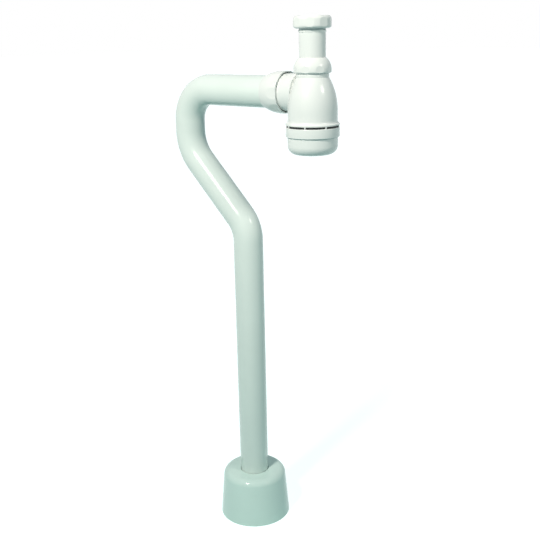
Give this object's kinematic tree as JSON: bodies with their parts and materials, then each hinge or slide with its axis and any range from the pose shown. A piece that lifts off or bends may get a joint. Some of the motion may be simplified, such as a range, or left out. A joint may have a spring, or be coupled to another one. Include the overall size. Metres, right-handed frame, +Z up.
{
  "type": "bottle trap with waste pipe",
  "caption": "White plastic bottle trap for a washbasin, with a bent waste pipe down to the floor and a tapered cover at the floor.",
  "frame": {"origin": "centre of the waste pipe's open lower end, at floor level", "axes": "+Z up along the pipe's lower run, +X towards the bottle along the outlet arm, +Y completes a right-handed frame"},
  "size_m": [0.2602, 0.1006, 0.6997],
  "materials": {
    "white_plastic": "glossy moulded",
    "ring_plastic": "matte moulded",
    "seal_rubber": "matte"
  },
  "bodies": {
    "trap": {"inlet_washer": "seal_rubber", "tail_pipe": "white_plastic", "neck_nut": "white_plastic", "neck_slip_ring": "ring_plastic", "neck_seal": "seal_rubber", "bottle": "white_plastic", "outlet_nut": "white_plastic", "outlet_slip_ring": "ring_plastic", "outlet_seal": "seal_rubber", "waste_pipe": "white_plastic"},
    "inlet_nut": {"inlet_nut": "white_plastic"},
    "cup_seal": {"cup_seal": "seal_rubber"},
    "cup": {"cup": "white_plastic"},
    "floor_cover": {"floor_cover": "white_plastic"}
  },
  "joints": [
    {"name": "inlet_nut_turn", "type": "hinge", "parent": "trap", "child": "inlet_nut", "pos_m": [0.108, 0, 0.69], "axis": [0, 0, 1], "continuous": true},
    {"name": "seal_drop", "type": "slide", "parent": "trap", "child": "cup_seal", "axis": [0, 0, -1], "range_m": [0, 0.0102]},
    {"name": "cup_turn", "type": "hinge", "parent": "cup_seal", "child": "cup", "pos_m": [0.108, 0, 0.56], "axis": [0, 0, -1], "range_deg": [0, 900]},
    {"name": "cover_lift", "type": "slide", "parent": "trap", "child": "floor_cover", "axis": [0, 0, 1], "range_m": [0, 0.3]}
  ],
  "couplings": [
    {"joint": "seal_drop", "follows": "cup_turn", "m_per_rad": 0.00063662}
  ]
}
